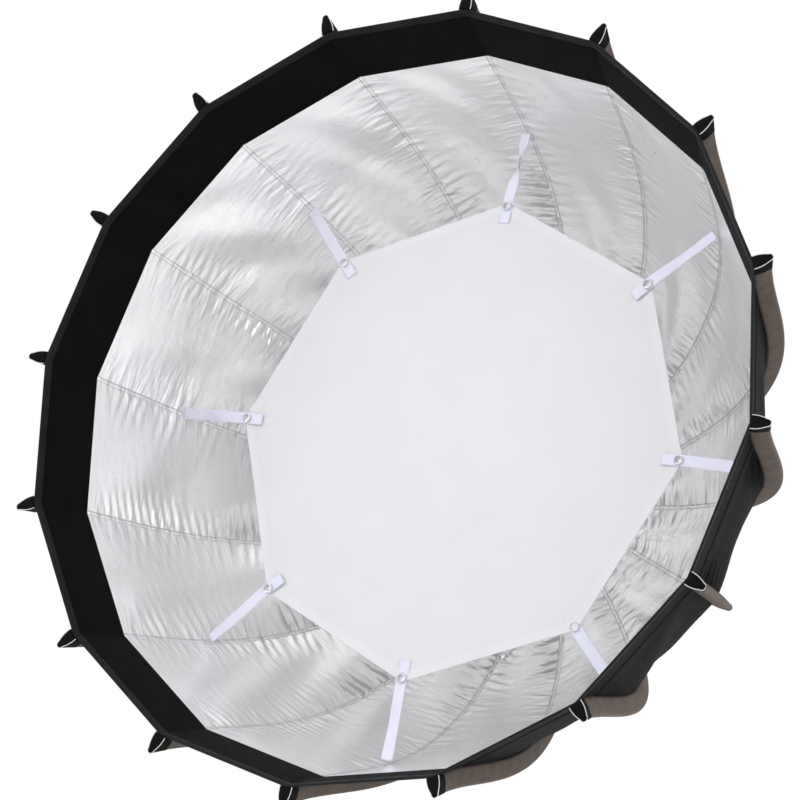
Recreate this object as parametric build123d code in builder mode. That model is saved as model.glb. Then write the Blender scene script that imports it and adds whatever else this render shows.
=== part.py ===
"""Sixteen-rib deep softbox with a quick-folding speed ring, black front lip and octagonal inner diffuser.

Frame: origin at the centre of the rear seat face, Y along the optical axis and out of the back, so the mouth
faces -Y; Z up. Millimetres. Every rib is drawn along +X and turned about Y into its place.
"""
from math import atan2, cos, pi, radians, sin
import os

from build123d import *

os.makedirs("parts", exist_ok=True)

# Canopy
RIBS = 16
MOUTH_R = 450.0            # rim corner radius
RIM_Y = -484.0             # plane of the front edge
SEAM_LENGTH = 623.0        # rim to back opening, along a seam
LEAN = (0.418, -1.640, 5.257, -2.634)   # its lean from the axis, radians, as powers of the share of its length
CLOTH = 1.2
STEP_DEG = 360.0 / RIBS
HALF = radians(STEP_DEG / 2)
FIRST_DEG = STEP_DEG / 2   # first rib, clockwise from +Z seen from the front
GORE_GAP = 0.4             # between neighbouring gores, along the middle of a panel
OVERRUN = 8.0              # how far a half gore is drawn past its seam before it is cut there

# Ribs
ROD_R = 3.0
ROD_RISE = 17.0            # rod centre above the inside of the seam
ROD_SETBACK = 2.5          # rod tip behind the rim plane
LEAD = 12.0                # straight stretch that a rib is drawn past the rim before it is cut
SLEEVE_WALL = 0.9
SLEEVE_FIT = 0.1           # gap between a rod and its sleeve
SLEEVE_FOOT = 14.0
FOOT_RISE, FOOT_T = 0.6, 0.6         # middle of a sleeve's foot above the cloth, and its thickness
HOLLOW_FOOT = 10.6
HOLLOW_RISE, HOLLOW_T = 1.6, 0.4     # the same for the hollow inside it
SLEEVE_END = 0.955         # share of the seam length that the sleeve covers

# Speed ring
PIN_X, PIN_Y = 76.0, -19.0           # radius and y of a hinge pin
PIN_R, FIT = 2.0, 0.05
PIN_LENGTH, PIN_PLAY = 21.8, 0.4
RING_IN, RING_OUT = 56.0, 90.0
RING_BACK, RING_FRONT = -4.0, -34.0
SLOT_W, SLOT_IN, SLOT_OUT, SLOT_BACK = 9.8, 66.0, 95.0, -11.6
KNUCKLE_W, BARREL_R = 9.0, 7.0
SOCKET_R = 5.2
SOCKET_AT = (101.0, -22.6)           # outer end of a knuckle
SPRING_T, SPRING_LENGTH, SPRING_W = 0.8, 16.0, 5.0
SPRING_GAP, SPRING_DROP = 0.1, 3.0   # off the slot's inner wall, and toward the front from the pin
DETENT_R = 1.2

# Screws
SCREW_R, HEAD_R, HEX_R = 2.0, 3.6, 1.5
SCREW_FIT, HEAD_FIT = 0.1, 0.2
COVER_SCREWS, COVER_SCREW_AT = 8, 84.0
COVER_RECESS, COVER_HEAD_T, COVER_SCREW_LENGTH, TAPPED = 3.0, 2.4, 20.8, 7.3
MOUNT_SCREWS, MOUNT_SCREW_AT = 6, 69.0
MOUNT_RECESS, MOUNT_HEAD_T, MOUNT_SCREW_LENGTH, MOUNT_TAPPED = 2.4, 2.1, 9.05, 5.9
HEX_DEPTH = 1.2

# Bayonet
THROAT_R = 50.0
NECK_R, LUG_R = 64.0, 72.0
NECK_END, LUG_T = 12.0, 4.0
LUGS, LUG_DEG, LUG_ROOT = 3, 44.0, 2.0   # number, width and how deep a lug starts inside the neck
FLANGE_R = 78.0

# Inner diffuser
CORNERS = RIBS // 2
DIFFUSER_Y = -289.0
DIFFUSER_R = 288.0
HEM, HEM_T, VEIL_T = 11.0, 1.6, 0.8
TAPE_W, TAPE_T = 14.0, 1.0
TAB_IN, TAB_OUT = 258.0, 292.0
STRAP_IN, STRAP_OUT = 276.0, 375.0
SNAP_AT = 284.0            # radius of the snaps' circle
SNAP_R, SNAP_T = 6.2, 2.0
STUD_R, STUD_HOLE_R = 2.4, 2.6
STUD_LENGTH, STUD_CUT = 5.0, 4.0
DIMPLE_R, DIMPLE_T = 3.6, 0.8
LAY = 0.1                  # gap between pieces that lie on one another

FLAT = (90, 0, 0)
TAB_Y = DIFFUSER_Y - (HEM_T + TAPE_T) / 2 - LAY
STRAP_Y = DIFFUSER_Y + (HEM_T + TAPE_T) / 2 + LAY
SNAP_LIFT = (TAPE_T + SNAP_T) / 2 + LAY


def seam(share, rise=0.0, flat=1.0):
    """Radius and y at a share of the seam length, raised off the inside face; flat scales the radius."""
    steps = 60
    r, y = MOUTH_R, RIM_Y
    for i in range(steps):
        t = share * (i + 0.5) / steps
        lean = sum(c * t**n for n, c in enumerate(LEAN))
        r -= sin(lean) * SEAM_LENGTH * share / steps
        y += cos(lean) * SEAM_LENGTH * share / steps
    lean = sum(c * share**n for n, c in enumerate(LEAN))
    lean = atan2(flat * sin(lean), cos(lean))
    return (r * flat + rise * cos(lean), y + rise * sin(lean))


def seam_points(first, last, rise, count, flat=1.0):
    return [seam(first + (last - first) * i / (count - 1), rise, flat) for i in range(count)]


def rib_turn(k):
    return Rot(0, FIRST_DEG + STEP_DEG * k - 90, 0)


def rib_spots(x, y, turn=(0, 0, 0), every=1):
    """One location per rib, given along +X."""
    return [rib_turn(k) * Location((x, y, 0), turn) for k in range(0, RIBS, every)]


def posts(count, at, radius, y0, y1, mode=Mode.ADD):
    """Cylinders along Y from y0 to y1, spaced evenly on a circle of radius at, the first on +Z."""
    spots = [Rot(0, 360 * i / count - 90, 0) * Location((at, (y0 + y1) / 2, 0), FLAT) for i in range(count)]
    with Locations(spots):
        Cylinder(radius, y1 - y0, mode=mode)


def finish(part, name):
    part.label = name
    export_step(part, f"parts/{name}.step")


def ring(r_in, r_out, y0, y1):
    """Revolved band about Y."""
    with BuildPart() as band:
        with BuildSketch(Plane.XY):
            with Locations(((r_in + r_out) / 2, (y0 + y1) / 2)):
                Rectangle(r_out - r_in, y1 - y0)
        revolve(axis=Axis.Y)
    return band.part


# ---------------------------------------------------------------- ribs
tip = seam(0, ROD_RISE)
tip_out = (tip[0] + LEAD * sin(LEAN[0]), tip[1] - LEAD * cos(LEAN[0]))
with BuildLine(Plane.XY) as rib_line:
    Spline(tip_out, *seam_points(0, 1, ROD_RISE, 10))
rib_path = rib_line.line
rib_start = Plane(origin=rib_path @ 0, x_dir=(0, 0, 1), z_dir=rib_path % 0)
sleeve_back = Plane(origin=(*seam(SLEEVE_END), 0), z_dir=rib_path % SLEEVE_END)

with BuildPart() as rod:
    with BuildSketch(rib_start):
        Circle(ROD_R)
    sweep(path=rib_path)
    split(bisect_by=Plane(origin=(0, RIM_Y + ROD_SETBACK, 0), z_dir=(0, 1, 0)), keep=Keep.TOP)
    with BuildSketch(Plane.XY):
        with Locations((PIN_X, PIN_Y)):
            Circle(BARREL_R)
        with Locations(SOCKET_AT):
            Circle(SOCKET_R)
        make_hull()
    extrude(amount=KNUCKLE_W / 2, both=True)
    with Locations((PIN_X, PIN_Y, 0)):
        Cylinder(PIN_R + FIT, 2 * KNUCKLE_W, mode=Mode.SUBTRACT)

with BuildPart() as sleeve:
    with BuildSketch(rib_start):
        Circle(ROD_R + SLEEVE_WALL + SLEEVE_FIT)
        with Locations((0, CLOTH + FOOT_RISE - ROD_RISE)):
            Rectangle(SLEEVE_FOOT, FOOT_T)
        make_hull()
        with BuildSketch(mode=Mode.SUBTRACT):
            Circle(ROD_R + SLEEVE_FIT)
            with Locations((0, CLOTH + HOLLOW_RISE - ROD_RISE)):
                Rectangle(HOLLOW_FOOT, HOLLOW_T)
            make_hull()
    sweep(path=rib_path)
    split(bisect_by=Plane(origin=(0, RIM_Y, 0), z_dir=(0, 1, 0)), keep=Keep.TOP)
    split(bisect_by=sleeve_back, keep=Keep.BOTTOM)

with BuildPart() as gore:
    across = (-sin(HALF), 0, cos(HALF))
    middle = Plane(
        origin=tuple(-GORE_GAP / 2 * c for c in across),
        x_dir=(cos(HALF), 0, sin(HALF)),
        z_dir=across,
    )
    with BuildSketch(middle):
        with BuildLine():
            inner = Spline(*seam_points(0, 1, 0, 9, cos(HALF)))
            outer = Spline(*seam_points(0, 1, CLOTH, 9, cos(HALF)))
            Line(inner @ 0, outer @ 0)
            Line(inner @ 1, outer @ 1)
        make_face()
    extrude(amount=-MOUTH_R * sin(HALF) - OVERRUN)
    split(bisect_by=Plane.XY, keep=Keep.TOP)
    mirror(about=Plane.XY)

for k in range(RIBS):
    finish(rib_turn(k) * rod.part, f"rod_{k + 1:02d}")
    finish(rib_turn(k) * sleeve.part, f"sleeve_{k + 1:02d}")
    finish(rib_turn(k) * gore.part, f"gore_{k + 1:02d}")


# ---------------------------------------------------------------- speed ring
def slotted_ring(y0, y1, slot_y0, slot_y1):
    """Ring from y0 to y1 with a slot for each knuckle and half a groove for each hinge pin."""
    with BuildPart() as slotted:
        add(ring(RING_IN, RING_OUT, y0, y1))
        with Locations(rib_spots((SLOT_IN + SLOT_OUT) / 2, (slot_y0 + slot_y1) / 2)):
            Box(SLOT_OUT - SLOT_IN, slot_y1 - slot_y0, SLOT_W, mode=Mode.SUBTRACT)
        with Locations(rib_spots(PIN_X, PIN_Y)):
            Cylinder(PIN_R + FIT, PIN_LENGTH + PIN_PLAY, mode=Mode.SUBTRACT)
    return slotted.part


with BuildPart() as speed_ring:
    add(slotted_ring(PIN_Y, RING_BACK, PIN_Y - 1, SLOT_BACK))
    posts(COVER_SCREWS, COVER_SCREW_AT, SCREW_R + SCREW_FIT, PIN_Y - 1, PIN_Y + TAPPED, Mode.SUBTRACT)
    tapped_end = RING_BACK - MOUNT_TAPPED
    posts(MOUNT_SCREWS, MOUNT_SCREW_AT, SCREW_R + SCREW_FIT, tapped_end, RING_BACK + 1, Mode.SUBTRACT)
finish(speed_ring.part, "speed_ring")

with BuildPart() as cover_ring:
    add(slotted_ring(RING_FRONT, PIN_Y, RING_FRONT - 1, PIN_Y + 1))
    posts(COVER_SCREWS, COVER_SCREW_AT, SCREW_R + SCREW_FIT, RING_FRONT - 1, PIN_Y + 1, Mode.SUBTRACT)
    recess_end = RING_FRONT + COVER_RECESS
    posts(COVER_SCREWS, COVER_SCREW_AT, HEAD_R + HEAD_FIT, RING_FRONT - 1, recess_end, Mode.SUBTRACT)
finish(cover_ring.part, "cover_ring")

with BuildPart() as cover_screws:
    under_head = RING_FRONT + COVER_RECESS - LAY
    head_face = under_head - COVER_HEAD_T
    posts(COVER_SCREWS, COVER_SCREW_AT, HEAD_R, head_face, under_head)
    posts(COVER_SCREWS, COVER_SCREW_AT, SCREW_R, head_face + HEX_DEPTH, head_face + COVER_SCREW_LENGTH)
    posts(COVER_SCREWS, COVER_SCREW_AT, HEX_R, head_face - 1, head_face + HEX_DEPTH, Mode.SUBTRACT)
finish(cover_screws.part, "cover_screws")

with BuildPart() as hinge_pins:
    with Locations(rib_spots(PIN_X, PIN_Y)):
        Cylinder(PIN_R, PIN_LENGTH)
finish(hinge_pins.part, "hinge_pins")

with BuildPart() as detent_springs:
    spring_x = SLOT_IN + SPRING_GAP + SPRING_T / 2
    with Locations(rib_spots(spring_x, PIN_Y - SPRING_DROP)):
        Box(SPRING_T, SPRING_LENGTH, SPRING_W)
    with Locations(rib_spots(spring_x + SPRING_T, PIN_Y)):
        Cylinder(DETENT_R, SPRING_W)
finish(detent_springs.part, "detent_springs")

with BuildPart() as bayonet_ring:
    add(ring(THROAT_R, FLANGE_R, RING_BACK, 0))
    add(ring(THROAT_R, NECK_R, 0, NECK_END))
    for i in range(LUGS):
        with BuildSketch(Plane(origin=(0, NECK_END - LUG_T, 0), x_dir=(1, 0, 0), z_dir=(0, 1, 0))):
            start = 90 + 360 / LUGS * i - LUG_DEG / 2
            with BuildLine():
                lug_edge = CenterArc((0, 0), LUG_R, start, LUG_DEG)
                lug_root = CenterArc((0, 0), NECK_R - LUG_ROOT, start, LUG_DEG)
                Line(lug_edge @ 0, lug_root @ 0)
                Line(lug_edge @ 1, lug_root @ 1)
            make_face()
        extrude(amount=LUG_T)
    posts(MOUNT_SCREWS, MOUNT_SCREW_AT, SCREW_R + SCREW_FIT, RING_BACK - 1, 1, Mode.SUBTRACT)
    posts(MOUNT_SCREWS, MOUNT_SCREW_AT, HEAD_R + HEAD_FIT, -MOUNT_RECESS, 1, Mode.SUBTRACT)
finish(bayonet_ring.part, "bayonet_ring")

with BuildPart() as bayonet_screws:
    mount_under_head = LAY - MOUNT_RECESS
    mount_face = mount_under_head + MOUNT_HEAD_T
    posts(MOUNT_SCREWS, MOUNT_SCREW_AT, HEAD_R, mount_under_head, mount_face)
    posts(MOUNT_SCREWS, MOUNT_SCREW_AT, SCREW_R, mount_face - MOUNT_SCREW_LENGTH, mount_face - HEX_DEPTH)
    posts(MOUNT_SCREWS, MOUNT_SCREW_AT, HEX_R, mount_face - HEX_DEPTH, mount_face + 1, Mode.SUBTRACT)
finish(bayonet_screws.part, "bayonet_screws")


# ---------------------------------------------------------------- inner diffuser
def octagon(radius, mode=Mode.ADD):
    RegularPolygon(radius, CORNERS, rotation=90 - FIRST_DEG, mode=mode)


def stud_holes(y, depth):
    with Locations(rib_spots(SNAP_AT, y, FLAT, 2)):
        Cylinder(STUD_HOLE_R, depth, mode=Mode.SUBTRACT)


diffuser_plane = Plane(origin=(0, DIFFUSER_Y, 0), x_dir=(1, 0, 0), z_dir=(0, -1, 0))

with BuildPart() as inner_diffuser:
    with BuildSketch(diffuser_plane):
        octagon(DIFFUSER_R)
    extrude(amount=VEIL_T / 2, both=True)
    with BuildSketch(diffuser_plane):
        octagon(DIFFUSER_R)
        octagon(DIFFUSER_R - HEM / cos(pi / CORNERS), Mode.SUBTRACT)
    extrude(amount=HEM_T / 2, both=True)
    stud_holes(DIFFUSER_Y, STUD_CUT)
finish(inner_diffuser.part, "inner_diffuser")

with BuildPart() as diffuser_tabs:
    with Locations(rib_spots((TAB_IN + TAB_OUT) / 2, TAB_Y, every=2)):
        Box(TAB_OUT - TAB_IN, TAPE_T, TAPE_W)
    stud_holes(TAB_Y, STUD_CUT)
finish(diffuser_tabs.part, "diffuser_tabs")

with BuildPart() as diffuser_straps:
    with Locations(rib_spots((STRAP_IN + STRAP_OUT) / 2, STRAP_Y, every=2)):
        Box(STRAP_OUT - STRAP_IN, TAPE_T, TAPE_W)
    stud_holes(STRAP_Y, STUD_CUT)
finish(diffuser_straps.part, "diffuser_straps")

with BuildPart() as snap_buttons:
    for snap_y in (TAB_Y - SNAP_LIFT, STRAP_Y + SNAP_LIFT):
        with Locations(rib_spots(SNAP_AT, snap_y, FLAT, 2)):
            Cylinder(SNAP_R, SNAP_T)
    with Locations(rib_spots(SNAP_AT, DIFFUSER_Y, FLAT, 2)):
        Cylinder(STUD_R, STUD_LENGTH)
    with Locations(rib_spots(SNAP_AT, TAB_Y - SNAP_LIFT - SNAP_T / 2, FLAT, 2)):
        Cylinder(DIMPLE_R, 2 * DIMPLE_T, mode=Mode.SUBTRACT)
finish(snap_buttons.part, "snap_buttons")
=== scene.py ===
import math
import random

import bpy
import numpy as np
from mathutils import Matrix, Vector


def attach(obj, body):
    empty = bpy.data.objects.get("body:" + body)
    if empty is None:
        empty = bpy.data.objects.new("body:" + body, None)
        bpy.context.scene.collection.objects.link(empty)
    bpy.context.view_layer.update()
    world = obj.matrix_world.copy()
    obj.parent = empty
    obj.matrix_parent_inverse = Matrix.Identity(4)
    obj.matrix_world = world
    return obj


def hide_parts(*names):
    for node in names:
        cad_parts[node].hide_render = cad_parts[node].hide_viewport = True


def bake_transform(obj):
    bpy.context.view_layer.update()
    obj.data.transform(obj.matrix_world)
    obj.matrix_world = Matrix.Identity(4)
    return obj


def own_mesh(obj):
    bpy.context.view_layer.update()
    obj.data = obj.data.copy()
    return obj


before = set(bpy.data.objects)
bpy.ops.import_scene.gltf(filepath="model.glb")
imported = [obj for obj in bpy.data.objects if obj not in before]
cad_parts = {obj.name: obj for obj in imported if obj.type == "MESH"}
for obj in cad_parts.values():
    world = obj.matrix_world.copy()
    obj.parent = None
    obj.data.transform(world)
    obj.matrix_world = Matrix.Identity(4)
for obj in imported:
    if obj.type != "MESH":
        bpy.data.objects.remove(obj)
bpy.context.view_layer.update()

# Sizes in metres, the same as the part's
RIBS = 16
MOUTH_R = 0.450
RIM_Y = -0.484
SEAM_LENGTH = 0.623
LEAN = (0.418, -1.640, 5.257, -2.634)
STEP = 2 * math.pi / RIBS
HALF = STEP / 2
CLOTH = 0.0012
ROD_RISE = 0.017
SLEEVE_END = 0.955
DIFFUSER_Y = -0.289
DIFFUSER_R = 0.288
SNAP_R_AT = 0.284
LIP_SHARE = 0.1235          # where the lip meets the silver canopy
HEM_DEPTH = 0.009
LAP = 0.007                 # width of the overlap where the lip is sewn on
SLEEVE_WALL = 0.0009
APEX_R = 0.0040             # sleeve: radius over the rod, half width of the foot, band and lead at the front
FOOT_HALF = 0.0070
CUFF_SHARE = 0.0225
SLEEVE_LEAD = 0.020         # straight stretch that a sleeve is drawn past the rim before it is cut flat
CAP_R = 0.0033
PIPING_R = 0.0005
THREAD_R = 0.00028
CORNER_STEP = 2 * STEP
APOTHEM = DIFFUSER_R * math.cos(CORNER_STEP / 2)
HEM_W = 0.011
VEIL_HALF = 0.0004          # half the thickness of the diffuser
STRAP_IN, STRAP_OUT = 0.263, 0.3785
STRAP_END_Y = -0.2845
STRAP_HALF = 0.0070
BAND_NAMES = ("front", "fore", "upper", "middle", "lower", "rear")
BAND_EDGES = (LIP_SHARE, 0.22, 0.33, 0.46, 0.62, 0.80, 1.0)
ROW = 0.0035                # spacing of the rows of a band
ACROSS = np.unique(np.concatenate([np.linspace(-1, 1, 41), [-0.02, 0.02, -0.06, 0.06]]))

rng = random.Random(7)


# ---------------------------------------------------------------- geometry helpers
def seam_table(count=1200):
    """Radius, y and lean along the seam at even shares of its length."""
    t = np.linspace(0, 1, count + 1)
    mid = (t[1:] + t[:-1]) / 2
    lean = sum(c * mid**n for n, c in enumerate(LEAN))
    step = SEAM_LENGTH / count
    r = MOUTH_R - np.concatenate([[0], np.cumsum(np.sin(lean) * step)])
    y = RIM_Y + np.concatenate([[0], np.cumsum(np.cos(lean) * step)])
    return t, r, y, sum(c * t**n for n, c in enumerate(LEAN))


SEAM_T, SEAM_R, SEAM_Y, SEAM_LEAN = seam_table()


def seam(share, rise=0.0):
    """Radius and y at shares of the seam, raised off the inside face; shares below 0 run straight on."""
    share = np.asarray(share, float)
    inside = np.clip(share, 0, 1)
    r = np.interp(inside, SEAM_T, SEAM_R)
    y = np.interp(inside, SEAM_T, SEAM_Y)
    lean = np.interp(inside, SEAM_T, SEAM_LEAN)
    extra = (inside - share) * SEAM_LENGTH
    r = r + extra * math.sin(LEAN[0])
    y = y - extra * math.cos(LEAN[0])
    return r + rise * np.cos(lean), y + rise * np.sin(lean), lean


def turn(points, k):
    """Points drawn with the rib along +X, turned to rib k about Y."""
    b = HALF + STEP * k - math.pi / 2
    p = np.asarray(points, float)
    out = p.copy()
    out[..., 0] = p[..., 0] * math.cos(b) + p[..., 2] * math.sin(b)
    out[..., 2] = -p[..., 0] * math.sin(b) + p[..., 2] * math.cos(b)
    return out


def side_of(k):
    """Tangential direction of rib k."""
    return tuple(turn(np.array([0.0, 0.0, 1.0]), k))


def out_of(k, r, y):
    """Point at radius r and height y in rib k's plane."""
    return tuple(turn(np.array([r, y, 0.0]), k))


def mesh_object(name, verts, faces, materials, face_materials=None, uvs=None, smooth=True):
    me = bpy.data.meshes.new(name)
    me.from_pydata([tuple(v) for v in np.asarray(verts, float)], [], faces)
    for m in materials:
        me.materials.append(m)
    if face_materials is not None:
        me.polygons.foreach_set("material_index", np.asarray(face_materials, dtype=np.int32))
    if uvs is not None:
        layer = me.uv_layers.new(name="UVMap")
        loops = np.empty(len(me.loops), dtype=np.int32)
        me.loops.foreach_get("vertex_index", loops)
        layer.data.foreach_set("uv", np.asarray(uvs, float)[loops].ravel())
    me.polygons.foreach_set("use_smooth", [smooth] * len(me.polygons))
    me.update()
    obj = bpy.data.objects.new(name, me)
    bpy.context.collection.objects.link(obj)
    return obj


def grid_faces(rows, cols, offset=0, flip=False, closed=False):
    faces = []
    across = cols if closed else cols - 1
    for i in range(rows - 1):
        for j in range(across):
            a = offset + i * cols + j
            b = offset + i * cols + (j + 1) % cols
            c, d = b + cols, a + cols
            faces.append((a, d, c, b) if flip else (a, b, c, d))
    return faces


def shell(name, inner, outer, uv, materials, side_index=None, face_index=None, normals=None):
    """Closed thin shell between two grids of points: inner faces take material 0, outer faces material 1.

    normals are the true surface normals of both grids, for pieces that meet without a seam."""
    rows, cols = inner.shape[:2]
    n = rows * cols
    verts = np.concatenate([inner.reshape(-1, 3), outer.reshape(-1, 3)])
    faces = grid_faces(rows, cols, 0, flip=False) + grid_faces(rows, cols, n, flip=True)
    count = (rows - 1) * (cols - 1)
    index = [0] * count + [1] * count if face_index is None else list(face_index)
    edge = 1 if side_index is None else side_index
    loop = [(0, j) for j in range(cols)] + [(i, cols - 1) for i in range(1, rows)]
    loop += [(rows - 1, j) for j in range(cols - 2, -1, -1)] + [(i, 0) for i in range(rows - 2, 0, -1)]
    ids = [i * cols + j for i, j in loop]
    for a, b in zip(ids, ids[1:] + ids[:1]):
        faces.append((b, a, a + n, b + n))
        index.append(edge)
    uvs = np.concatenate([uv.reshape(-1, 2), uv.reshape(-1, 2)])
    obj = mesh_object(name, verts, faces, materials, index, uvs)
    me = obj.data
    smooth = np.ones(len(faces), dtype=bool)
    smooth[2 * count:] = False
    me.polygons.foreach_set("use_smooth", smooth)
    if normals is not None:
        loops = np.empty(len(me.loops), dtype=np.int32)
        me.loops.foreach_get("vertex_index", loops)
        at = np.concatenate([g.reshape(-1, 3) for g in normals])[loops]
        at[8 * count:] = 0
        me.normals_split_custom_set(at.tolist())
    return obj


def grid_normals(points, outward):
    """Unit normals of a grid that has one spare row and column on every side."""
    along = points[2:, 1:-1] - points[:-2, 1:-1]
    across = points[1:-1, 2:] - points[1:-1, :-2]
    n = np.cross(along, across)
    n /= np.linalg.norm(n, axis=-1)[..., None]
    facing = np.sign(np.sum(n * outward, axis=-1))[..., None]
    return n * facing


def tube(name, line, radius, material, sides=10, ends=True, flat=None):
    """Round tube along points; radius may vary along it. flat gives a fixed side direction."""
    line = np.asarray(line, float)
    n = len(line)
    radius = np.broadcast_to(np.asarray(radius, float), (n,))
    tangent = np.gradient(line, axis=0)
    tangent /= np.linalg.norm(tangent, axis=1)[:, None]
    if flat is None:
        flat = (0.0, 0.0, 1.0) if abs(tangent[0][2]) < 0.9 else (1.0, 0.0, 0.0)
    u = np.cross(tangent, np.asarray(flat, float))
    u /= np.linalg.norm(u, axis=1)[:, None]
    v = np.cross(tangent, u)
    a = np.linspace(0, 2 * math.pi, sides, endpoint=False)
    rings = line[:, None] + radius[:, None, None] * (
        np.cos(a)[None, :, None] * u[:, None] + np.sin(a)[None, :, None] * v[:, None]
    )
    faces = grid_faces(n, sides, closed=True)
    along = np.concatenate([[0], np.cumsum(np.linalg.norm(np.diff(line, axis=0), axis=1))])
    uv = np.stack(np.broadcast_arrays(a[None, :] * float(radius.mean()), along[:, None]), axis=-1)
    verts = rings.reshape(-1, 3)
    uv = uv.reshape(-1, 2)
    if ends:
        faces.append(tuple(range(sides))[::-1])
        faces.append(tuple((n - 1) * sides + j for j in range(sides)))
    return mesh_object(name, verts, faces, [material], None, uv)


def spun(name, profile, centre, axis, material, sides=32):
    """Turned piece: profile is (radius, height) pairs, closed on the axis at both ends."""
    a = np.linspace(0, 2 * math.pi, sides, endpoint=False)
    axis = Vector(axis).normalized()
    basis = axis.to_track_quat("Z", "Y").to_matrix()
    verts = []
    for r, h in profile:
        for t in a:
            verts.append(basis @ Vector((r * math.cos(t), r * math.sin(t), h)) + Vector(centre))
    faces = grid_faces(len(profile), sides, closed=True)
    faces.append(tuple(range(sides))[::-1])
    faces.append(tuple((len(profile) - 1) * sides + j for j in range(sides)))
    return mesh_object(name, verts, faces, [material])


# ---------------------------------------------------------------- materials
class Nodes:
    """Small helper to lay out a node material."""

    def __init__(self, name, **inputs):
        self.mat = bpy.data.materials.new(name)
        self.mat.use_nodes = True
        self.tree = self.mat.node_tree
        self.shader = self.tree.nodes["Principled BSDF"]
        for key, value in inputs.items():
            self.shader.inputs[key.replace("_", " ")].default_value = value

    def add(self, kind, **settings):
        node = self.tree.nodes.new(kind)
        for key, value in settings.items():
            if key in node.inputs:
                node.inputs[key].default_value = value
            else:
                setattr(node, key, value)
        return node

    def link(self, a, b):
        self.tree.links.new(a, b)

    def coords(self, kind="Object"):
        return self.add("ShaderNodeTexCoord").outputs[kind]

    def scaled(self, source, scale):
        node = self.add("ShaderNodeMapping")
        node.inputs["Scale"].default_value = scale
        self.link(source, node.inputs["Vector"])
        return node.outputs["Vector"]

    def noise(self, source, scale, detail=3.0, roughness=0.5):
        node = self.add("ShaderNodeTexNoise", Scale=scale, Detail=detail, Roughness=roughness)
        self.link(source, node.inputs["Vector"])
        return node.outputs["Fac"]

    def waves(self, source, direction, scale, distortion=0.0):
        node = self.add("ShaderNodeTexWave", Scale=scale, Distortion=distortion, bands_direction=direction)
        self.link(source, node.inputs["Vector"])
        return node.outputs["Fac"]

    def ramp(self, source, *stops):
        node = self.add("ShaderNodeValToRGB")
        elements = node.color_ramp.elements
        while len(elements) < len(stops):
            elements.new(0.5)
        for element, (at, colour) in zip(elements, stops):
            element.position = at
            element.color = (*colour, 1) if len(colour) == 3 else colour
        self.link(source, node.inputs["Fac"])
        return node.outputs["Color"]

    def mix(self, a, b, kind="ADD"):
        node = self.add("ShaderNodeMath", operation=kind)
        self.link(a, node.inputs[0])
        if isinstance(b, (int, float)):
            node.inputs[1].default_value = b
        else:
            self.link(b, node.inputs[1])
        return node.outputs[0]

    def bump(self, height, strength, distance, after=None):
        node = self.add("ShaderNodeBump", Strength=strength, Distance=distance)
        self.link(height, node.inputs["Height"])
        if after is not None:
            self.link(after, node.inputs["Normal"])
        return node.outputs["Normal"]

    def weave(self, thread, strength, distance, after=None):
        """Plain weave of that thread pitch, in metres, laid along the UVs."""
        uv = self.coords("UV")
        warp = self.waves(uv, "X", 1 / thread / 6.2832 * 2)
        weft = self.waves(uv, "Y", 1 / thread / 6.2832 * 2)
        return self.bump(self.mix(warp, weft), strength, distance, after)

    def speckled(self, low, high, scale, source=None, detail=4.0):
        """Base colour that wanders between two colours."""
        noise = self.noise(source or self.coords(), scale, detail)
        self.link(self.ramp(noise, (0.3, low), (0.7, high)), self.shader.inputs["Base Color"])

    def rough(self, low, high, scale, source=None):
        noise = self.noise(source or self.coords(), scale)
        node = self.add("ShaderNodeMapRange")
        node.inputs["To Min"].default_value = low
        node.inputs["To Max"].default_value = high
        self.link(noise, node.inputs["Value"])
        self.link(node.outputs["Result"], self.shader.inputs["Roughness"])

    def normal(self, source):
        self.link(source, self.shader.inputs["Normal"])


def silver_lining():
    m = Nodes("silver_lining", Metallic=0.82)
    m.speckled((0.93, 0.935, 0.94), (0.98, 0.982, 0.985), 9.0)
    m.rough(0.24, 0.36, 60.0)
    uv = m.coords("UV")
    puckers = m.noise(m.scaled(uv, (16, 85, 1)), 1.0, 2.0, 0.6)
    from_seam = m.add("ShaderNodeSeparateXYZ")
    m.link(uv, from_seam.inputs[0])
    away = m.mix(from_seam.outputs["X"], 0.0, "ABSOLUTE")
    fade = m.mix(m.mix(away, -34.0, "MULTIPLY"), 1.0, "EXPONENT")
    gathers = m.bump(m.mix(puckers, fade, "MULTIPLY"), 0.8, 0.0045)
    creases = m.bump(m.noise(m.coords(), 55.0, 2.0), 0.3, 0.0014, gathers)
    m.normal(m.weave(0.0007, 0.18, 0.0001, creases))
    return m.mat


def black_nylon(name, low, high, thread, roughness=(0.5, 0.66), shine=0.16):
    m = Nodes(name, Sheen_Weight=0.05 * shine, Sheen_Roughness=0.5, Specular_IOR_Level=shine)
    m.speckled(low, high, 35.0)
    m.rough(*roughness, 140.0)
    folds = m.bump(m.noise(m.coords(), 45.0, 3.0), 0.3, 0.001)
    m.normal(m.weave(thread, 0.35, 0.0002, folds))
    return m.mat


def sleeve_cloth():
    m = Nodes("sleeve_cloth", Sheen_Weight=0.05, Sheen_Roughness=0.45, Specular_IOR_Level=0.2)
    m.speckled((0.092, 0.069, 0.055), (0.122, 0.094, 0.076), 60.0)
    m.rough(0.6, 0.75, 120.0)
    soft = m.bump(m.noise(m.coords(), 70.0, 3.0), 0.3, 0.0012)
    m.normal(m.weave(0.0008, 0.4, 0.0002, soft))
    return m.mat


def white_cloth(name, low, high, thread):
    m = Nodes(name, Sheen_Weight=0.15)
    m.speckled(low, high, 14.0)
    m.rough(0.62, 0.8, 90.0)
    soft = m.bump(m.noise(m.coords(), 22.0, 2.0), 0.12, 0.001)
    m.normal(m.weave(thread, 0.25, 0.00015, soft))
    return m.mat


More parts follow.
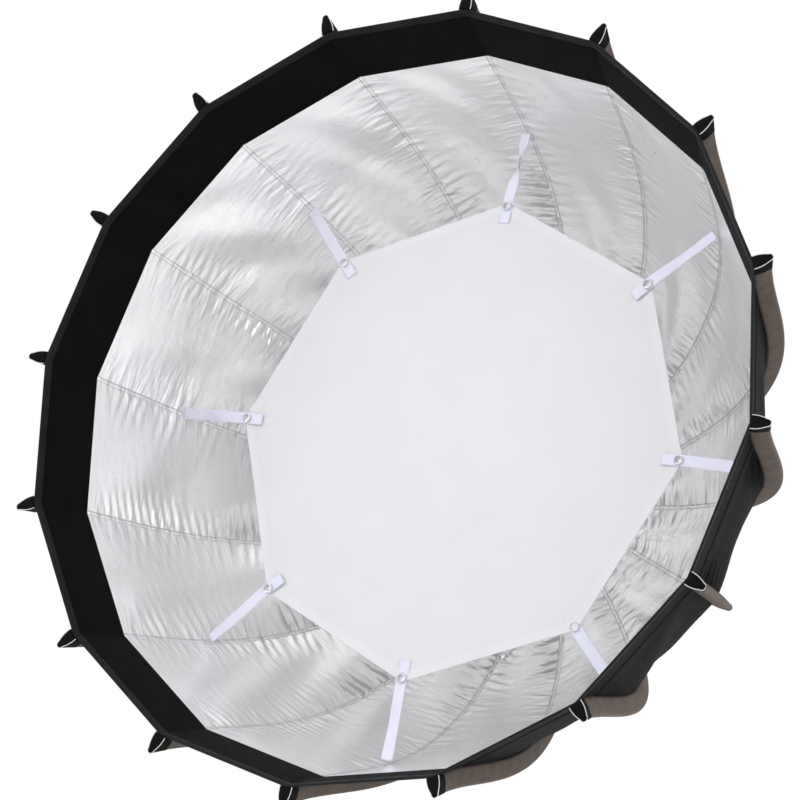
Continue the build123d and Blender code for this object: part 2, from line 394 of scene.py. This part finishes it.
def piping_cord():
    m = Nodes("piping_cord", Sheen_Weight=0.2)
    m.speckled((0.46, 0.46, 0.45), (0.62, 0.62, 0.60), 300.0)
    m.rough(0.4, 0.6, 300.0)
    m.normal(m.bump(m.waves(m.coords("UV"), "Y", 330.0), 0.4, 0.0003))
    return m.mat


def thread(name, colour):
    m = Nodes(name)
    m.speckled(tuple(c * 0.8 for c in colour), colour, 500.0)
    m.rough(0.5, 0.7, 500.0)
    return m.mat


def clear_plastic():
    m = Nodes("clear_plastic", Transmission_Weight=0.55, IOR=1.46)
    m.speckled((0.62, 0.62, 0.67), (0.74, 0.74, 0.79), 200.0)
    m.rough(0.08, 0.16, 260.0)
    return m.mat


def painted_casting():
    m = Nodes("painted_casting", Specular_IOR_Level=0.5)
    m.speckled((0.016, 0.016, 0.018), (0.030, 0.030, 0.032), 120.0)
    m.rough(0.36, 0.52, 400.0)
    m.normal(m.bump(m.noise(m.coords(), 1400.0, 2.0), 0.25, 0.0002))
    return m.mat


def turned_aluminium():
    m = Nodes("turned_aluminium", Metallic=1.0)
    m.speckled((0.52, 0.53, 0.54), (0.66, 0.66, 0.67), 40.0)
    m.rough(0.24, 0.36, 300.0)
    rings = m.add("ShaderNodeTexWave", wave_type="RINGS", rings_direction="Y", Scale=500.0)
    m.link(m.coords(), rings.inputs["Vector"])
    m.normal(m.bump(rings.outputs["Fac"], 0.15, 0.0001))
    return m.mat


def zinc_steel():
    m = Nodes("zinc_steel", Metallic=1.0)
    m.speckled((0.42, 0.42, 0.43), (0.58, 0.58, 0.57), 400.0)
    m.rough(0.22, 0.42, 500.0)
    m.normal(m.bump(m.noise(m.coords(), 2500.0), 0.1, 0.0001))
    return m.mat


def fibre_rod():
    m = Nodes("fibre_rod", Coat_Weight=0.3, Coat_Roughness=0.25)
    m.speckled((0.012, 0.012, 0.013), (0.035, 0.034, 0.033), 220.0)
    m.rough(0.32, 0.5, 350.0)
    m.normal(m.bump(m.noise(m.scaled(m.coords(), (1, 0.1, 1)), 900.0), 0.2, 0.0002))
    return m.mat


def rubber_cap():
    m = Nodes("rubber_cap")
    m.speckled((0.010, 0.010, 0.010), (0.022, 0.022, 0.022), 200.0)
    m.rough(0.45, 0.65, 300.0)
    m.normal(m.bump(m.noise(m.coords(), 1500.0), 0.2, 0.0002))
    return m.mat


SILVER = silver_lining()
CANOPY_BLACK = black_nylon(
    "canopy_black", (0.0022, 0.0022, 0.0025), (0.0045, 0.0045, 0.005), 0.0006, (0.6, 0.75), 0.045
)
LIP_BLACK = black_nylon(
    "lip_black", (0.0015, 0.0015, 0.0017), (0.0032, 0.0032, 0.0035), 0.0009, (0.6, 0.78), 0.06
)
BINDING = black_nylon(
    "binding_black", (0.007, 0.007, 0.0075), (0.013, 0.013, 0.014), 0.0014, (0.5, 0.65), 0.1
)
TAUPE = sleeve_cloth()
DIFFUSER = white_cloth("diffuser_nylon", (0.605, 0.614, 0.632), (0.625, 0.634, 0.650), 0.0006)
HEM_WHITE = white_cloth("hem_white", (0.622, 0.631, 0.650), (0.642, 0.651, 0.668), 0.0009)
TAPE = white_cloth("lavender_tape", (0.62, 0.615, 0.75), (0.69, 0.685, 0.81), 0.0010)
PIPING = piping_cord()
SEAM_THREAD = thread("grey_thread", (0.46, 0.46, 0.48))
SNAP_CLEAR = clear_plastic()
CASTING = painted_casting()
BAYONET = turned_aluminium()
STEEL = zinc_steel()
ROD = fibre_rod()
CAP = rubber_cap()


# ---------------------------------------------------------------- canopy
class GoreShape:
    """Wrinkles of one gore: metres of lift off its flat chords at a share along and a place across."""

    def __init__(self, seed):
        r = random.Random(seed)
        self.pleats = [  # wavelength, phase, size, slant
            (r.uniform(0.0095, 0.0165), r.uniform(0, 6.28), r.uniform(0.6, 1.3), r.uniform(18, 36))
            for _ in range(4)
        ]
        self.folds = [  # waves along, waves across, phase, size
            (r.uniform(0.4, 1.1), r.uniform(0.9, 2.6), r.uniform(0, 6.28), r.uniform(0.3, 1.0))
            for _ in range(5)
        ]
        self.strength = r.uniform(0.55, 1.25)
        self.patches = [(r.uniform(0.15, 0.95), r.uniform(0.05, 0.16), r.uniform(0.3, 1.0)) for _ in range(5)]

    def lift(self, t, c, width):
        """t share of the seam, c place across from 0 to 1, width of the gore there."""
        arc = t * SEAM_LENGTH
        away = np.minimum(c, 1 - c) * width
        near = (1 - np.exp(-away / 0.004)) * np.exp(-away / 0.026) * np.cos(math.pi * np.minimum(c, 1 - c))
        patch = 0.25 + sum(a * np.exp(-(((t - m) / w) ** 2)) for m, w, a in self.patches)
        side = np.where(c < 0.5, 0, 1)
        total = 0
        for n, (wave, phase, size, slant) in enumerate(self.pleats):
            use = side == n % 2
            total = total + use * size * np.sin(6.2832 * (arc + away * slant * 0.012) / wave + phase)
        wrinkle = 0.00105 * self.strength * patch * near * total
        by_sleeve = 1 - 0.9 * np.exp(-((away / 0.013) ** 2))
        wrinkle = np.minimum(wrinkle, 0) + np.maximum(wrinkle, 0) * by_sleeve
        across = np.sin(math.pi * c)
        broad = 0
        for along, sideways, phase, size in self.folds:
            broad = broad + size * np.sin(6.2832 * (arc / 0.14 * along + c * sideways) + phase)
        sag = -0.0035 * across * np.sin(math.pi * np.clip((t - 0.1) / 0.9, 0, 1))
        fade = np.clip((t - LIP_SHARE) / 0.05, 0, 1)
        return (wrinkle + 0.0009 * across * broad) * fade + sag * fade


GORES = [GoreShape(100 + g) for g in range(RIBS)]


def gore_points(k, shares, places, rise):
    """Grid over rib k's two half gores; places run from -1, mid-gore after it, to 1, mid-gore before it."""
    t = np.asarray(shares, float)[:, None]
    v = np.asarray(places, float)[None, :]
    r, y, lean = seam(t)
    r, y, lean = (np.broadcast_to(a, (t.shape[0], v.shape[1])).copy() for a in (r, y, lean))
    size = np.abs(v)
    width = 2 * r * math.sin(HALF)
    lift = np.where(
        v >= 0,
        GORES[(k - 1) % RIBS].lift(t, size / 2, width),
        GORES[k].lift(t, 1 - size / 2, width),
    )
    push = rise + lift
    x = r * (1 - size * math.sin(HALF) ** 2)
    z = np.sign(v) * r * math.sin(HALF) * math.cos(HALF) * size
    tilt = np.arctan2(np.sin(lean) * math.cos(HALF), np.cos(lean))
    side = np.sign(v) * HALF * np.clip(size / 0.02, 0, 1)
    x = x + push * np.cos(tilt) * np.cos(side)
    z = z + push * np.cos(tilt) * np.sin(side)
    y = y + push * np.sin(tilt)
    return turn(np.stack([x, y, z], axis=-1), k)


def gore_normals(k, shares):
    """True normals of the inner and outer faces over rib k's half gores."""
    step = shares[1] - shares[0]
    long = np.concatenate([[shares[0] - step], shares, [shares[-1] + step]])
    wide = np.concatenate([[-1.05], ACROSS, [1.05]])
    points = gore_points(k, long, wide, 0.0)
    outward = points[1:-1, 1:-1] * (1, 0, 1) + np.array([0.0, 0.25, 0.0])
    out = grid_normals(points, outward)
    middle = len(ACROSS) // 2
    out[:, middle] = out[:, middle - 1] + out[:, middle + 1]
    out[:, middle] /= np.linalg.norm(out[:, middle], axis=-1)[:, None]
    return -out, out


def gore_uv(shares, places):
    t = np.asarray(shares, float)[:, None]
    v = np.asarray(places, float)[None, :]
    r, _, _ = seam(t)
    return np.stack(np.broadcast_arrays(v * r * math.sin(HALF), t * SEAM_LENGTH), axis=-1)


def declare_cloth(obj, k):
    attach(obj, f"rib_{k + 1:02d}")
    side_of(k)
    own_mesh(obj)


def canopy(k):
    made = []
    for name, first, last in zip(BAND_NAMES, BAND_EDGES, BAND_EDGES[1:]):
        rows = max(6, int((last - first) * SEAM_LENGTH / ROW))
        shares = np.linspace(first, last, rows)
        inner = gore_points(k, shares, ACROSS, 0.0)
        outer = gore_points(k, shares, ACROSS, CLOTH)
        obj = shell(
            f"canopy_{name}_{k + 1:02d}", inner, outer, gore_uv(shares, ACROSS), [SILVER, CANOPY_BLACK],
            normals=gore_normals(k, shares),
        )
        declare_cloth(obj, k)
        made.append(obj)
    return made


def lip(k):
    """Black front lip: one layer with a thicker bound hem in front and a lap where the canopy is sewn on."""
    hem = HEM_DEPTH / SEAM_LENGTH
    overlap = LAP / SEAM_LENGTH
    shares = np.unique(np.concatenate([
        np.linspace(0, hem, 6), [hem * 1.04], np.linspace(hem * 1.2, LIP_SHARE - overlap, 13),
        [LIP_SHARE - overlap * 0.97], np.linspace(LIP_SHARE - overlap * 0.9, LIP_SHARE + 0.0006, 3),
    ]))
    round_off = np.sqrt(np.clip(1 - (1 - np.clip(shares / (hem * 0.3), 0, 1)) ** 2, 0, 1))
    thick = np.where(shares <= hem * 1.001, 0.0010 * round_off, 0.0)
    seam_lap = np.where(shares >= LIP_SHARE - overlap * 0.98, 0.0007, 0.0)
    edge = np.where(shares <= hem, 1 - 0.35 * (1 - round_off), 1.0)
    inner = gore_points(k, shares, ACROSS, (0.0006 - 0.0006 * edge - thick)[:, None] - 0.0002)
    outer = gore_points(k, shares, ACROSS, (0.0006 + 0.0006 * edge + thick + seam_lap)[:, None])
    cols = len(ACROSS) - 1
    row_kind = [2 if shares[i + 1] <= hem * 1.01 else 0 for i in range(len(shares) - 1)]
    kinds = [v for v in row_kind for _ in range(cols)]
    outer_kinds = [2 if v == 2 else 1 for v in kinds]
    obj = shell(
        f"lip_{k + 1:02d}", inner, outer, gore_uv(shares, ACROSS),
        [LIP_BLACK, CANOPY_BLACK, BINDING], side_index=2, face_index=kinds + outer_kinds,
        normals=lip_normals(k, shares, hem),
    )
    declare_cloth(obj, k)


def lip_normals(k, shares, hem):
    """True normals over the plain part of the lip, and none over the rounded hem."""
    wide = np.concatenate([[-1.05], ACROSS, [1.05]])
    points = gore_points(k, np.linspace(0, LIP_SHARE, len(shares) + 2), wide, 0.0)
    out = grid_normals(points, points[1:-1, 1:-1] * (1, 0, 1))
    out[shares <= hem * 1.1] = 0
    return -out, out


def stitches(name, line, normal, pitch, length, radius, material):
    """Row of thread stitches lying on a line of points."""
    line = np.asarray(line, float)
    along = np.concatenate([[0], np.cumsum(np.linalg.norm(np.diff(line, axis=0), axis=1))])
    verts, faces = [], []
    for n in range(int(along[-1] / pitch)):
        s = np.array([n * pitch + length * f for f in (0.0, 0.2, 0.5, 0.8, 1.0)])
        p = np.stack([np.interp(s, along, line[:, i]) for i in range(3)], axis=1)
        nn = np.stack([np.interp(s, along, normal[:, i]) for i in range(3)], axis=1)
        p = p + nn * (np.array([-0.8, 0.5, 0.9, 0.5, -0.8])[:, None] * radius)
        d = (p[-1] - p[0]) / np.linalg.norm(p[-1] - p[0])
        w = np.cross(d, nn[2])
        base = len(verts)
        for i in range(5):
            for a in (0, 1.5708, 3.1416, 4.7124):
                verts.append(p[i] + radius * (math.cos(a) * w + math.sin(a) * nn[2]))
        for i in range(4):
            for j in range(4):
                a, b = base + i * 4 + j, base + i * 4 + (j + 1) % 4
                faces.append((a, b, b + 4, a + 4))
    return mesh_object(name, verts, faces, [material])


def seam_tape(k):
    """Narrow binding over the seam inside the canopy, with a raised cord and a thread line each side."""
    shares = np.linspace(LIP_SHARE, 0.995, 150)
    r, y, lean = seam(shares)
    drop = -0.0006
    nx, ny = np.cos(lean), np.sin(lean)
    places = (-0.0026, -0.0016, -0.0009, 0.0, 0.0009, 0.0016, 0.0026)
    lifts = (0.0, -0.0003, -0.0004, -0.0013, -0.0004, -0.0003, 0.0)
    grid = []
    for z, up in zip(places, lifts):
        fall = abs(z) * math.tan(HALF)
        rise = drop + up - fall
        grid.append(np.stack([r + rise * nx, y + rise * ny, np.full_like(r, z)], axis=-1))
    inner = turn(np.stack(grid, axis=1), k)
    back = np.stack([np.stack([r - (abs(z) * math.tan(HALF)) * nx, y, np.full_like(r, z)], axis=-1)
                     for z in places], axis=1)
    uv = np.stack(np.broadcast_arrays(np.array(places)[None, :], (shares * SEAM_LENGTH)[:, None]), axis=-1)
    obj = shell(f"seam_tape_{k + 1:02d}", inner, turn(back, k), uv, [SILVER, SILVER], side_index=0)
    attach(obj, f"rib_{k + 1:02d}")
    for n, z in enumerate((-0.0021, 0.0021)):
        rise = drop - 0.0004 - abs(z) * math.tan(HALF)
        line = turn(np.stack([r + rise * nx, y + rise * ny, np.full_like(r, z)], axis=-1), k)
        out = turn(np.stack([-nx, -ny, np.zeros_like(nx)], axis=-1), k)
        row = stitches(f"seam_stitch_{k + 1:02d}_{'ab'[n]}", line, out, 0.0036, 0.0027, THREAD_R, SEAM_THREAD)
        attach(row, f"rib_{k + 1:02d}")


# ---------------------------------------------------------------- rib sleeves
def tent_section(scale=1.0, wall=0.0, count=9):
    """Outline of a sleeve across its rod, foot to foot over the apex, as rise and side from the seam."""
    a = np.linspace(-1.12, 1.12, count)
    radius = APEX_R * scale - wall
    top = [(ROD_RISE + radius * math.cos(t), radius * math.sin(t)) for t in a]
    foot = FOOT_HALF * scale - wall * 1.6
    down = np.linspace(0.12, 0.9, 6)
    first = [(CLOTH + wall + (top[0][0] - CLOTH) * f, -foot + (foot + top[0][1]) * (f ** 0.8)) for f in down]
    last = [(x, -z) for x, z in reversed(first)]
    lead = [(CLOTH + wall - foot * 0.18, -foot)]
    tail = [(lead[0][0], foot)]
    return np.array(lead + first + top + last + tail)


def swept(shares, section, sag=0.0):
    """Section carried along the seam, drawn along +X; sag moves its points sideways."""
    r, y, lean = seam(shares)
    nx, ny = np.cos(lean), np.sin(lean)
    rise = section[:, 0][None, :]
    side = np.broadcast_to(section[:, 1][None, :], (len(shares), len(section))) + sag
    return np.stack([r[:, None] + rise * nx[:, None], y[:, None] + rise * ny[:, None], side], axis=-1)


def arc_length(points):
    return np.concatenate([[0], np.cumsum(np.linalg.norm(np.diff(points, axis=0), axis=1))])


def along_line(points, at, want):
    """Points at the wanted lengths of a line whose own points lie at lengths at."""
    return np.stack([np.interp(want, at, points[:, c]) for c in range(3)], axis=1)


def cut_front(points, y, squeeze=12):
    """Cut a sleeve flat at the plane y: rows in front of it move in among the first rows behind it."""
    points = points.copy()
    for j in range(points.shape[1]):
        col = points[:, j]
        if col[0, 1] < y:
            i = int(np.argmax(col[:, 1] >= y))
            a, b = col[i - 1], col[i]
            at = a + (y - a[1]) / (b[1] - a[1]) * (b - a)
            span = np.concatenate([at[None], col[i:]])
            d = arc_length(span)
            want = np.linspace(0, d[min(squeeze, len(d) - 1)], i + squeeze)
            points[: i + squeeze, j] = along_line(span, d, want)
    return points


def sleeve(k):
    r = random.Random(500 + k)
    tag = f"{k + 1:02d}"
    lead = -SLEEVE_LEAD / SEAM_LENGTH
    section = tent_section()
    shares = np.concatenate([np.linspace(lead, 0.06, 18), np.linspace(0.066, SLEEVE_END, 120)])
    arc = shares * SEAM_LENGTH
    phase = [(r.uniform(0.02, 0.09), r.uniform(0, 6.28), r.uniform(0.2, 1.0)) for _ in range(6)]
    wobble = sum(a * np.sin(6.2832 * arc / w + p) for w, p, a in phase)[:, None]
    height = (section[:, 0] / ROD_RISE)[None, :]
    belly = np.clip(np.sin(math.pi * np.clip(height, 0, 1)), 0, 1) * np.sign(section[:, 1])[None, :]
    sag = 0.00035 * wobble * belly + 0.0007 * belly
    outer = cut_front(turn(swept(shares, section, sag), 0), RIM_Y)
    inner = cut_front(turn(swept(shares, tent_section(wall=SLEEVE_WALL), sag), 0), RIM_Y)
    b = STEP * k
    outer, inner = (rotate_y(p, b) for p in (outer, inner))
    across = arc_length(section)
    uv = np.stack(np.broadcast_arrays(across[None, :], arc[:, None]), axis=-1)
    obj = shell(f"sleeve_cloth_{tag}", inner, outer, uv, [BINDING, TAUPE], side_index=1)
    body = f"rib_{tag}"
    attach(obj, body)
    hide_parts(f"sleeve_{tag}")

    # black reinforced band round the front of the sleeve
    band = tent_section(scale=1.06)
    band[:, 0] += 0.0003
    band_shares = np.linspace(lead, CUFF_SHARE, 14)
    front_y = RIM_Y - 0.0006
    band_out = rotate_y(cut_front_short(turn(swept(band_shares, band, 0.0013 * belly), 0), front_y), b)
    band_in = rotate_y(cut_front_short(turn(swept(band_shares, section), 0), front_y), b)
    uv2 = np.stack(np.broadcast_arrays(across[None, :], (band_shares * SEAM_LENGTH)[:, None]), axis=-1)
    cuff = shell(f"sleeve_cuff_{tag}", band_in, band_out, uv2, [LIP_BLACK, LIP_BLACK])
    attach(cuff, body)

    # light piping round the opening
    ring = band_out[0]
    edge = tube(f"tip_piping_{tag}", even_line(ring, 40), PIPING_R, PIPING, sides=8)
    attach(edge, body)

    # black panel sewn across the opening
    half = len(ring) // 2
    left, right = ring[:half, None], ring[:half:-1, None]
    c = np.linspace(0, 1, 7)[None, :, None]
    panel = left * (1 - c) + right * c
    bulge = np.sin(math.pi * c[..., 0]) * np.sin(math.pi * np.linspace(0, 1, half))[:, None]
    front, back = panel.copy(), panel.copy()
    front[..., 1] -= 0.0002 + 0.0010 * bulge
    back[..., 1] += 0.0006 - 0.0010 * bulge
    flat = rotate_y(panel, -b)[..., [2, 0]]
    patch = shell(f"tip_panel_{tag}", back, front, flat, [LIP_BLACK, LIP_BLACK])
    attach(patch, body)

    # rod end cap, just inside the opening
    tip_r = float(seam(-0.006, ROD_RISE)[0])
    centre = out_of(k, tip_r - 0.0002, RIM_Y + 0.0036)
    ahead = turn(np.array([math.sin(LEAN[0]), -math.cos(LEAN[0]), 0.0]), k)
    profile = [
        (0.0001, -0.014), (0.0030, -0.014), (CAP_R, -0.013), (CAP_R, -0.002),
        (0.0030, 0.0005), (0.0020, 0.0018), (0.0001, 0.0022),
    ]
    cap = spun(f"rod_cap_{tag}", profile, centre, tuple(ahead), CAP, 20)
    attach(cap, body)


def rotate_y(points, b):
    out = points.copy()
    out[..., 0] = points[..., 0] * math.cos(b) + points[..., 2] * math.sin(b)
    out[..., 2] = -points[..., 0] * math.sin(b) + points[..., 2] * math.cos(b)
    return out


def cut_front_short(points, y):
    """Squeeze the rows of a short sleeve so that its front lies flat on the plane y."""
    out = points.copy()
    rows = points.shape[0]
    for j in range(points.shape[1]):
        col = points[:, j]
        i = int(np.argmax(col[:, 1] >= y))
        span = col
        if i > 0:
            a, b = col[i - 1], col[i]
            start = a + (y - a[1]) / (b[1] - a[1]) * (b - a)
            span = np.concatenate([start[None], col[i:]])
        d = arc_length(span)
        out[:, j] = along_line(span, d, np.linspace(0, d[-1], rows))
    return out


def even_line(points, count):
    d = arc_length(points)
    return along_line(points, d, np.linspace(0, d[-1], count))


# ---------------------------------------------------------------- inner diffuser
diffuser_waves = [
    (rng.uniform(9, 24), rng.uniform(0, 6.28), rng.uniform(-1, 1), rng.uniform(-1, 1), rng.uniform(0.2, 1))
    for _ in range(7)
]


def diffuser_height(x, z):
    """Slight unevenness of the stretched octagon, more toward its edge."""
    radius = np.sqrt(x**2 + z**2)
    total = sum(a * np.sin(f * (x * dx + z * dz) + p) for f, p, dx, dz, a in diffuser_waves)
    angle = np.arctan2(x, z) - HALF
    corner = np.cos(angle * RIBS / 2)
    rays = np.sin(angle * 96) * np.clip((radius - 0.2) / 0.08, 0, 1) * np.clip(corner, 0, 1) ** 6
    return 0.0009 * total * np.clip(radius / 0.2, 0, 1) + 0.0004 * rays


def diffuser_sector(k):
    """Slice of the octagon around rib k, from the axis to its edge, with the hem along the edge."""
    angles = np.linspace(-HALF, HALF, 17)
    corner = k % 2 == 0
    from_side = angles - CORNER_STEP / 2 * np.where(angles > 0, 1, -1) if corner else angles
    edge = APOTHEM / np.cos(from_side)
    hem = HEM_W / np.cos(from_side)
    fractions = np.concatenate([[0.0002], np.linspace(0.06, 1, 22)])
    rows = [f * (edge - hem) for f in fractions] + [edge - hem * 0.97, edge - hem * 0.5, edge - 0.0006, edge]
    rho = np.stack(rows)
    n_veil = len(fractions)
    thick = np.concatenate([np.full(n_veil, VEIL_HALF), [0.0010, 0.0011, 0.0009, VEIL_HALF]])
    x = rho * np.cos(angles)[None, :]
    z = rho * np.sin(angles)[None, :]
    flat = turn(np.stack([x, np.zeros_like(x), z], axis=-1), k)
    h = diffuser_height(flat[..., 0], flat[..., 2])
    front, back = flat.copy(), flat.copy()
    front[..., 1] = DIFFUSER_Y - thick[:, None] + h
    back[..., 1] = DIFFUSER_Y + thick[:, None] + h
    cols = len(angles) - 1
    kinds = []
    for i in range(len(rho) - 1):
        kinds += [1 if i >= n_veil - 1 else 0] * cols
    uv = flat[..., [0, 2]]
    step = 1e-4
    slope_x = (diffuser_height(flat[..., 0] + step, flat[..., 2]) - h) / step
    slope_z = (diffuser_height(flat[..., 0], flat[..., 2] + step) - h) / step
    facing = np.stack([slope_x, -np.ones_like(h), slope_z], axis=-1)
    facing /= np.linalg.norm(facing, axis=-1)[..., None]
    obj = shell(
        f"diffuser_sector_{k + 1:02d}", back, front, uv, [DIFFUSER, HEM_WHITE], side_index=1,
        face_index=kinds + kinds, normals=(-facing, facing),
    )
    out_of(k, 0.268, DIFFUSER_Y)
    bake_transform(obj)
    return obj


# Twist of each strap in degrees, midway and where it is sewn on
STRAP_TWIST = ((74, 8), (10, 14), (-8, -12), (12, 18), (-10, 10), (8, -16), (30, 22), (-12, 12))


def strap(k):
    """Tape from the diffuser's corner to the rib seam: flat under the snap, twisted a little on the way."""
    tag = f"{k + 1:02d}"
    front = DIFFUSER_Y - 0.0020
    t = np.linspace(0, 1, 44)
    x = STRAP_IN + (STRAP_OUT - STRAP_IN) * t
    y = front + (STRAP_END_Y - front) * np.clip((t - 0.2) / 0.8, 0, 1) ** 1.2
    y = y + 0.0015 * np.sin(math.pi * np.clip((t - 0.3) / 0.7, 0, 1))
    midway, sewn = STRAP_TWIST[k // 2]
    twist = np.radians(midway * np.exp(-(((t - 0.66) / 0.14) ** 2)) + sewn * np.clip((t - 0.35) / 0.65, 0, 1))
    side = np.linspace(-1, 1, 7)
    pts = []
    for thick in (0.0004, -0.0004):
        crown = 0.0002 * (1 - side**2)
        across = np.broadcast_to(side * STRAP_HALF, (len(t), len(side)))
        off = thick + crown[None, :] * np.sign(thick) * -1
        px = x[:, None] + 0 * across
        py = y[:, None] + across * np.sin(twist)[:, None] - off * np.cos(twist)[:, None]
        pz = across * np.cos(twist)[:, None] + off * np.sin(twist)[:, None]
        px = px - np.abs(pz) * math.tan(HALF) * t[:, None] ** 4
        pts.append(turn(np.stack([px, py, pz], axis=-1), k))
    uv = np.stack(np.broadcast_arrays(side[None, :] * STRAP_HALF, x[:, None]), axis=-1)
    obj = shell(f"strap_{tag}", pts[1], pts[0], uv, [TAPE, TAPE])
    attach(obj, f"rib_{tag}")
    if k == 0:
        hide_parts("diffuser_straps", "diffuser_tabs")
    centre = out_of(k, SNAP_R_AT, front - 0.0006)
    rim = [
        (0.0002, 0.0002), (0.0038, 0.0002), (0.0042, 0.0012), (0.0050, 0.0020), (0.0058, 0.0018),
        (0.0062, 0.0008), (0.0062, 0.0), (0.0002, -0.0002),
    ]
    snap = spun(f"snap_{tag}", rim, centre, (0, -1, 0), SNAP_CLEAR, 40)
    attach(snap, f"rib_{tag}")
    stud = spun(f"snap_back_{tag}", rim, out_of(k, SNAP_R_AT, DIFFUSER_Y + 0.0024), (0, 1, 0), SNAP_CLEAR, 40)
    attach(stud, f"rib_{tag}")
    if k == 0:
        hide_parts("snap_buttons")


# ---------------------------------------------------------------- build
for k in range(RIBS):
    tag = f"{k + 1:02d}"
    bands = canopy(k)
    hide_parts(f"gore_{tag}")
    lip(k)
    seam_tape(k)
    sleeve(k)
    sector = diffuser_sector(k)
    if k == 0:
        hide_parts("inner_diffuser")
    if k % 2 == 0:
        strap(k)

NODE_MATERIALS = {
    "speed_ring": CASTING, "cover_ring": CASTING, "bayonet_ring": BAYONET, "bayonet_screws": STEEL,
    "cover_screws": STEEL, "hinge_pins": STEEL, "detent_springs": STEEL,
}
for k in range(RIBS):
    NODE_MATERIALS[f"rod_{k + 1:02d}"] = ROD
for name, material in NODE_MATERIALS.items():
    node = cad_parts[name]
    node.data.materials.clear()
    node.data.materials.append(material)


# ---------------------------------------------------------------- floor, light and camera
def stage_floor():
    m = Nodes("studio_floor")
    m.speckled((0.84, 0.84, 0.84), (0.87, 0.87, 0.87), 2.0)
    m.rough(0.7, 0.8, 5.0)
    size = 40.0
    z = -2.2
    verts = [(-size, -size, z), (size, -size, z), (size, size, z), (-size, size, z)]
    floor = mesh_object("studio_floor", verts, [(0, 1, 2, 3)], [m.mat])


def area_light(name, location, target, size, power):
    data = bpy.data.lights.new(name, "AREA")
    data.shape = "SQUARE"
    data.size = size
    data.energy = power
    obj = bpy.data.objects.new(name, data)
    bpy.context.collection.objects.link(obj)
    obj.location = location
    obj.rotation_euler = (Vector(target) - Vector(location)).to_track_quat("-Z", "Y").to_euler()


def studio():
    world = bpy.data.worlds.new("studio")
    bpy.context.scene.world = world
    world.use_nodes = True
    background = world.node_tree.nodes["Background"]
    background.inputs["Color"].default_value = (1.0, 1.0, 1.0, 1)
    background.inputs["Strength"].default_value = 1.0
    centre = (0, -0.3, 0)
    area_light("key", (-2.2, -3.4, 1.4), centre, 2.4, 66)
    area_light("fill", (2.8, -2.6, 0.2), centre, 1.8, 34)


def camera():
    """The photograph's viewing angle: right of and below the axis, with a slight roll."""
    azimuth, elevation, roll = (math.radians(a) for a in (28.04, -18.36, 2.65))
    distance = 3.847
    target = Vector((0.0203, -0.4687, -0.0117))
    level = math.cos(elevation)
    back = Vector((math.sin(azimuth) * level, -math.cos(azimuth) * level, math.sin(elevation)))
    data = bpy.data.cameras.new("camera")
    data.lens = 157.15
    data.sensor_width = 36.0
    obj = bpy.data.objects.new("camera", data)
    bpy.context.collection.objects.link(obj)
    turned = back.to_track_quat("Z", "Y").to_matrix().to_4x4() @ Matrix.Rotation(roll, 4, "Z")
    obj.matrix_world = Matrix.Translation(target + back * distance) @ turned
    bpy.context.scene.camera = obj


stage_floor()
studio()
camera()
bpy.context.scene.view_settings.view_transform = "Standard"
